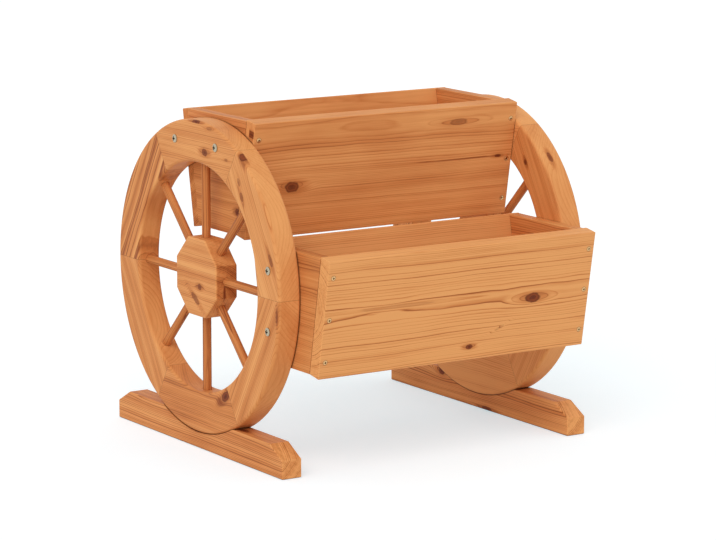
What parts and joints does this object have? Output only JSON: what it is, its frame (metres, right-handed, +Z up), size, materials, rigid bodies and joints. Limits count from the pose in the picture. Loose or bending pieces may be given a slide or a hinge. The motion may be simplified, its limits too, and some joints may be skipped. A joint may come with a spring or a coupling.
{
  "type": "flower cart stand",
  "caption": "Wooden plant stand like a flower cart: spoked wagon wheels on foot rails carry a high rear trough and a low front trough with outward-leaning boards.",
  "frame": {"origin": "on the floor, under the middle of the whole stand's bounding box", "axes": "+X along the wheels' common axis to the right, -Y to the front where the low trough is, +Z up"},
  "size_m": [0.5842, 0.5908, 0.5352],
  "materials": {
    "pine_board": "planed pine with a honey-coloured clear glaze, satin",
    "pine_wheel": "planed pine with rounded edges and a honey-coloured clear glaze, satin",
    "pine_rail": "planed pine with a honey-coloured clear glaze, satin",
    "pine_dowel": "turned pine dowel with a honey-coloured clear glaze, satin",
    "zinc_screw": "bright zinc-plated steel"
  },
  "bodies": {
    "root": {"left_felloe_1": "pine_wheel", "left_felloe_2": "pine_wheel", "left_felloe_3": "pine_wheel", "left_felloe_4": "pine_wheel", "left_felloe_5": "pine_wheel", "left_felloe_6": "pine_wheel", "left_felloe_dowels": "pine_dowel", "left_hub": "pine_wheel", "left_rail": "pine_rail", "left_rail_screws": "zinc_screw", "left_spoke_1": "pine_dowel", "left_spoke_2": "pine_dowel", "left_spoke_3": "pine_dowel", "left_spoke_4": "pine_dowel", "left_spoke_5": "pine_dowel", "left_spoke_6": "pine_dowel", "left_spoke_7": "pine_dowel", "left_spoke_8": "pine_dowel", "left_wheel_screws": "zinc_screw", "lower_floor": "pine_board", "lower_front_board": "pine_board", "lower_front_screws": "zinc_screw", "lower_left_end": "pine_board", "lower_rear_board": "pine_board", "lower_rear_screws": "zinc_screw", "lower_right_end": "pine_board", "right_felloe_1": "pine_wheel", "right_felloe_2": "pine_wheel", "right_felloe_3": "pine_wheel", "right_felloe_4": "pine_wheel", "right_felloe_5": "pine_wheel", "right_felloe_6": "pine_wheel", "right_felloe_dowels": "pine_dowel", "right_hub": "pine_wheel", "right_rail": "pine_rail", "right_rail_screws": "zinc_screw", "right_spoke_1": "pine_dowel", "right_spoke_2": "pine_dowel", "right_spoke_3": "pine_dowel", "right_spoke_4": "pine_dowel", "right_spoke_5": "pine_dowel", "right_spoke_6": "pine_dowel", "right_spoke_7": "pine_dowel", "right_spoke_8": "pine_dowel", "right_wheel_screws": "zinc_screw", "upper_floor": "pine_board", "upper_front_board": "pine_board", "upper_front_screws": "zinc_screw", "upper_left_end": "pine_board", "upper_rear_board": "pine_board", "upper_rear_screws": "zinc_screw", "upper_right_end": "pine_board"}
  },
  "joints": []
}
